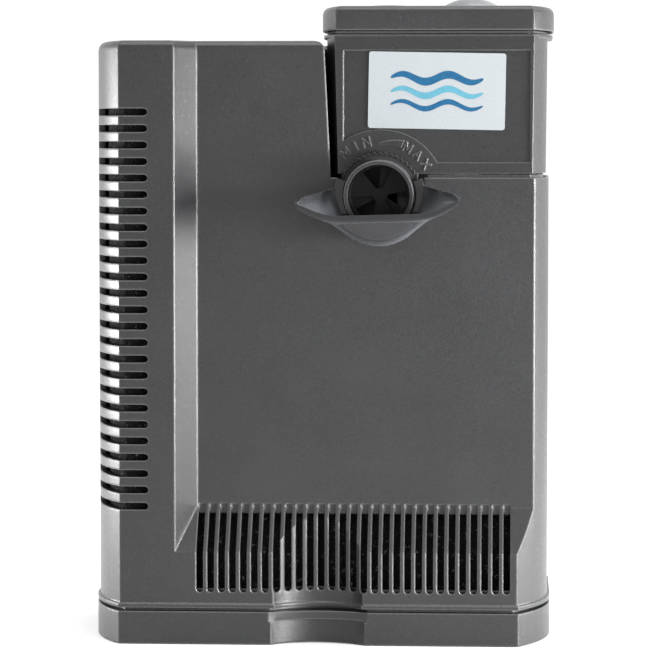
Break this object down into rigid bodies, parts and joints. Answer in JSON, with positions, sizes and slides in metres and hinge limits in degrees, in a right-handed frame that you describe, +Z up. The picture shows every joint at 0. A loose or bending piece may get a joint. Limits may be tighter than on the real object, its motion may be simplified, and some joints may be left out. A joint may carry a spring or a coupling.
{
  "type": "internal aquarium filter",
  "caption": "Compact internal aquarium filter: slotted housing with a foot grille, push-fit media tray, and lift-out pump head with flow dial and swivelling spray scoop.",
  "frame": {"origin": "centre of the media tray's flat underside", "axes": "+X to the viewer's right, towards the pump head; +Y back, towards the tank glass; +Z up"},
  "size_m": [0.1453, 0.0942, 0.2037],
  "materials": {
    "anthracite_plastic": "fine flecked anthracite moulding, satin",
    "outlet_plastic": "near-black satin",
    "smoke_plastic": "smoke grey, glossy",
    "cup_silicone": "clear grey silicone",
    "seal_rubber": "matt black",
    "filter_foam": "open-cell black foam",
    "cartridge_plastic": "satin blue-grey",
    "carbon_media": "black granular pad",
    "label_film": "pale silver film, satin",
    "lamination_steel": "stacked sheets",
    "screw_steel": "stainless",
    "copper_winding": "enamelled copper wire",
    "ferrite_magnet": "plastic-bonded ferrite",
    "impeller_plastic": "white moulding",
    "shaft_ceramic": "ground ceramic"
  },
  "bodies": {
    "housing": {"housing_shell": "anthracite_plastic", "rear_panel": "anthracite_plastic", "suction_cup_1": "cup_silicone", "suction_cup_2": "cup_silicone", "suction_cup_3": "cup_silicone", "suction_cup_4": "cup_silicone", "pump_dock": "anthracite_plastic", "dock_seal": "seal_rubber"},
    "tray": {"base_tray": "anthracite_plastic", "foam_side": "filter_foam", "foam_lower": "filter_foam", "cartridge_frame": "cartridge_plastic", "carbon_pad": "carbon_media"},
    "pump": {"pump_casing": "anthracite_plastic", "pump_lid": "anthracite_plastic", "lid_seal": "seal_rubber", "label_plate": "label_film", "cable_gland": "seal_rubber", "stator_core": "lamination_steel", "coil_left": "copper_winding", "coil_right": "copper_winding", "volute_cover": "anthracite_plastic", "volute_seal": "seal_rubber", "cover_screw_1": "screw_steel", "cover_screw_2": "screw_steel", "cover_screw_3": "screw_steel", "cover_screw_4": "screw_steel", "shutter_plate": "outlet_plastic", "rotor_shaft": "shaft_ceramic", "bush_top": "seal_rubber", "bush_bottom": "seal_rubber"},
    "rotor": {"rotor_magnet": "ferrite_magnet", "impeller": "impeller_plastic"},
    "dial": {"flow_dial": "outlet_plastic"},
    "nozzle": {"spray_nozzle": "smoke_plastic"}
  },
  "joints": [
    {"name": "housing_lift", "type": "slide", "parent": "tray", "child": "housing", "axis": [0, 0, 1], "range_m": [0, 0.19]},
    {"name": "pump_lift", "type": "slide", "parent": "housing", "child": "pump", "axis": [0, 0, 1], "range_m": [0, 0.095]},
    {"name": "impeller_spin", "type": "hinge", "parent": "pump", "child": "rotor", "pos_m": [0.036, -0.004, 0.14], "axis": [0, 0, 1], "continuous": true},
    {"name": "dial_turn", "type": "hinge", "parent": "pump", "child": "dial", "pos_m": [0.019, -0.031, 0.1401], "axis": [0, -1, 0], "range_deg": [-28, 22]},
    {"name": "nozzle_swivel", "type": "hinge", "parent": "dial", "child": "nozzle", "pos_m": [0.019, -0.037, 0.1401], "axis": [0, -1, 0], "continuous": true}
  ]
}
